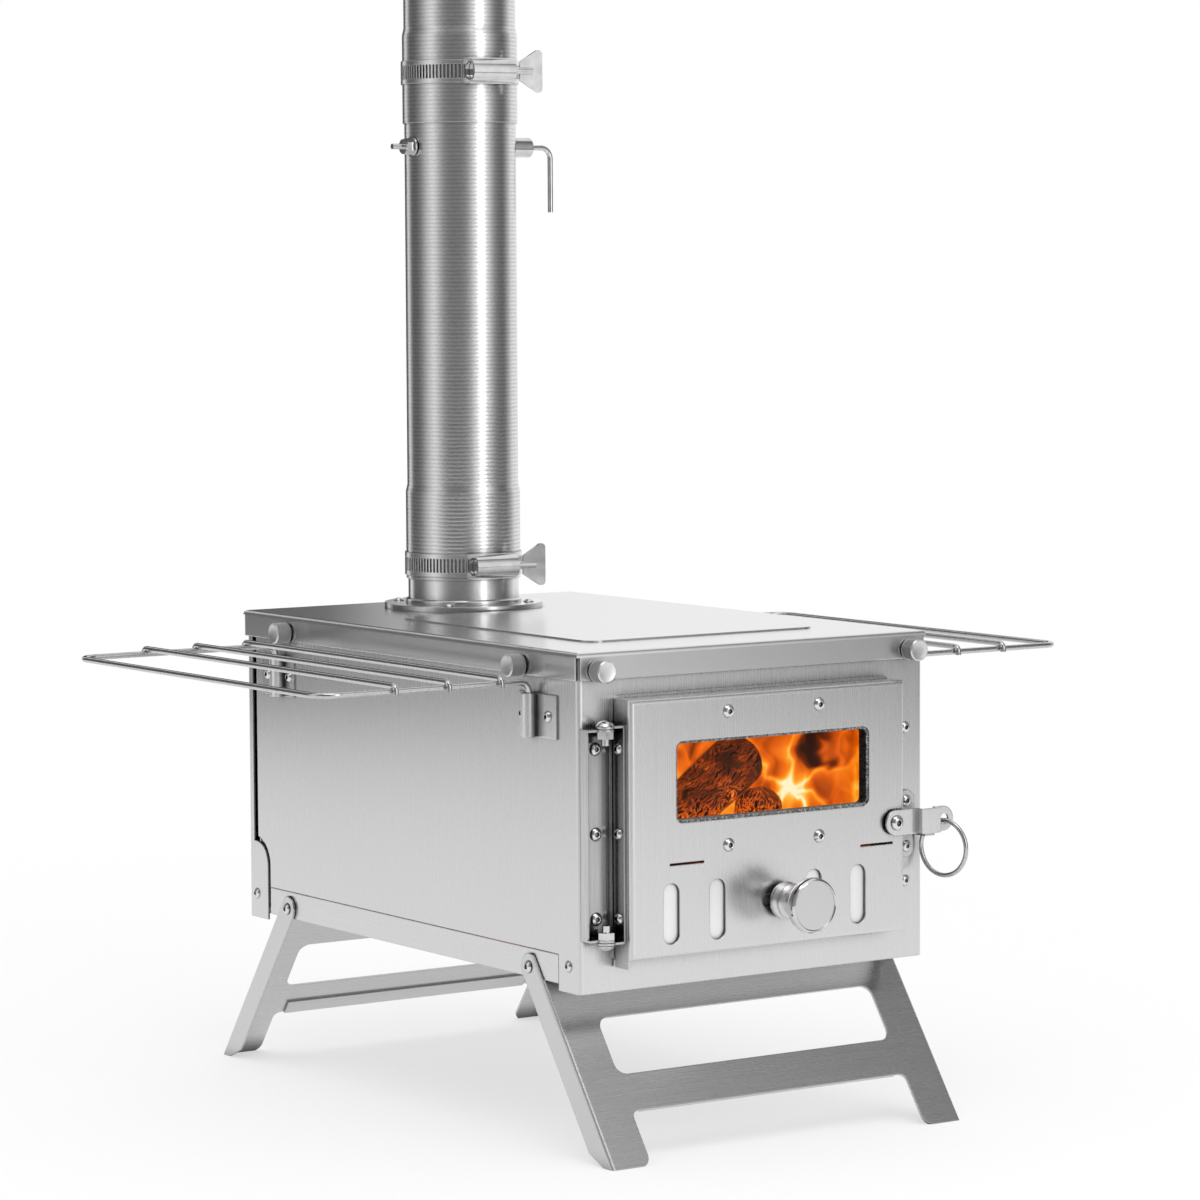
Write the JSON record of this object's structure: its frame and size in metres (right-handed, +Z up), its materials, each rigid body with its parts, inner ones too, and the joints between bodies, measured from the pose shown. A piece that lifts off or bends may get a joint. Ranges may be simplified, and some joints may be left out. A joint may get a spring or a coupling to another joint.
{
  "type": "tent_wood_stove",
  "caption": "Folding sheet steel tent wood stove with a hinged glass door, side racks and a clamped flue with a damper and a spark arrestor",
  "frame": {"origin": "on the ground, under the middle of the stove's bounding box", "axes": "X across the stove to its right, -Y towards the door side, Z up"},
  "size_m": [0.456, 0.394, 0.9515],
  "materials": {
    "sheet": "brushed stainless sheet",
    "flue_steel": "rolled stainless pipe with fine rings",
    "hot_steel": "dull stainless seen only inside",
    "bright": "polished stainless",
    "fitting": "bright stainless strip",
    "gasket": "woven glass fibre tape",
    "glass": "clear ceramic glass"
  },
  "bodies": {
    "body": {"wrap_panel": "sheet", "rear_panel": "sheet", "base_pan": "sheet", "lid": "sheet", "front_stiffener": "sheet", "fire_grate": "hot_steel", "body_rivets": "bright", "thumb_screws": "bright", "lid_nuts": "bright", "hinge_leaf_body": "fitting", "hinge_bolts": "bright", "hinge_nuts": "bright", "hinge_screws_body": "bright", "latch_keeper": "fitting", "bracket_left_front": "fitting", "bracket_left_rear": "fitting", "bracket_right_front": "fitting", "bracket_right_rear": "fitting", "bracket_screws": "bright", "leg_rivets": "bright", "flue_collar": "flue_steel", "collar_rivets": "bright", "damper_pipe": "flue_steel", "damper_bush": "bright", "upper_pipe": "flue_steel", "spark_arrestor": "flue_steel", "guy_tabs": "flue_steel", "clamp_band_lower": "fitting", "clamp_band_middle": "fitting", "clamp_band_upper": "fitting", "clamp_housing_lower": "bright", "clamp_housing_middle": "bright", "clamp_housing_upper": "bright"},
    "door": {"door_pan": "sheet", "window_gasket": "gasket", "window_glass": "glass", "glass_retainer": "hot_steel", "window_screws": "bright", "window_nuts": "bright", "hinge_leaf_door": "fitting", "hinge_screws_door": "bright", "latch_screw": "bright"},
    "air_control": {"air_slide": "sheet", "air_knob": "bright"},
    "latch": {"latch_arm": "fitting"},
    "ring": {"pull_ring": "bright"},
    "damper": {"damper_plate": "hot_steel", "damper_rod": "bright", "damper_nut": "bright"},
    "front_leg_frame": {"front_legs": "sheet"},
    "rear_leg_frame": {"rear_legs": "sheet"},
    "rack_left": {"left_rack": "bright"},
    "rack_right": {"right_rack": "bright"},
    "key_lower": {"clamp_key_lower": "bright"},
    "key_middle": {"clamp_key_middle": "bright"},
    "key_upper": {"clamp_key_upper": "bright"}
  },
  "joints": [
    {"name": "door_hinge", "type": "hinge", "parent": "body", "child": "door", "pos_m": [-0.0949, -0.1612, 0.1583], "axis": [0, 0, -1], "range_deg": [0, 110]},
    {"name": "latch_pivot", "type": "hinge", "parent": "door", "child": "latch", "pos_m": [0.075, -0.1702, 0.1524], "axis": [0, -1, 0], "range_deg": [0, 65]},
    {"name": "ring_swing", "type": "hinge", "parent": "latch", "child": "ring", "pos_m": [0.1052, -0.1702, 0.1514], "axis": [0.2588, -0.9659, 0], "range_deg": [-5, 80]},
    {"name": "air_control_slide", "type": "slide", "parent": "door", "child": "air_control", "axis": [1, 0, 0], "range_m": [-0.008, 0.012]},
    {"name": "damper_turn", "type": "hinge", "parent": "body", "child": "damper", "pos_m": [0, 0.114, 0.4945], "axis": [1, 0, 0], "range_deg": [0, 90]},
    {"name": "front_leg_fold", "type": "hinge", "parent": "body", "child": "front_leg_frame", "pos_m": [0, -0.1105, 0.0892], "axis": [1, 0, 0], "range_deg": [0, 125.5]},
    {"name": "rear_leg_fold", "type": "hinge", "parent": "body", "child": "rear_leg_frame", "pos_m": [0, 0.1245, 0.0892], "axis": [-1, 0, 0], "range_deg": [0, 125.5]},
    {"name": "rack_left_lift", "type": "slide", "parent": "body", "child": "rack_left", "axis": [0, 0, 1], "range_m": [0, 0.03]},
    {"name": "rack_right_lift", "type": "slide", "parent": "body", "child": "rack_right", "axis": [0, 0, 1], "range_m": [0, 0.03]},
    {"name": "clamp_lower_key_turn", "type": "hinge", "parent": "body", "child": "key_lower", "pos_m": [-0.00384, 0.0775, 0.2707], "axis": [0.9945, -0.1045, 0], "continuous": true},
    {"name": "clamp_middle_key_turn", "type": "hinge", "parent": "body", "child": "key_middle", "pos_m": [-0.00384, 0.0775, 0.534], "axis": [0.9945, -0.1045, 0], "continuous": true},
    {"name": "clamp_upper_key_turn", "type": "hinge", "parent": "body", "child": "key_upper", "pos_m": [-0.00384, 0.0775, 0.7597], "axis": [0.9945, -0.1045, 0], "continuous": true}
  ]
}
